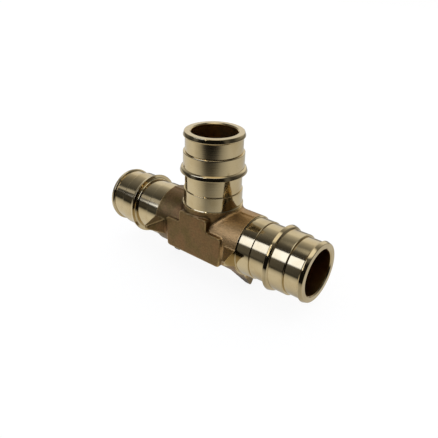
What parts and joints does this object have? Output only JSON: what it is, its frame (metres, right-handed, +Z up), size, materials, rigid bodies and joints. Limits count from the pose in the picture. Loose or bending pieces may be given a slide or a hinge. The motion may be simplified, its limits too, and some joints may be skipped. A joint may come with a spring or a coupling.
{
  "type": "pex expansion tee",
  "caption": "Brass equal tee with turned, ringed spigots for cold-expanded plastic pipe, and a forged body with stop lugs and a flat pad.",
  "frame": {"origin": "where the axes of the run and the branch cross", "axes": "+X along the run, +Z up the branch, and the flat pad of the forging faces -Y"},
  "size_m": [0.11, 0.0402, 0.0662],
  "materials": {
    "brass": "turned bright on the spigots, as forged on the body"
  },
  "bodies": {
    "root": {"tee_body": "brass"}
  },
  "joints": []
}
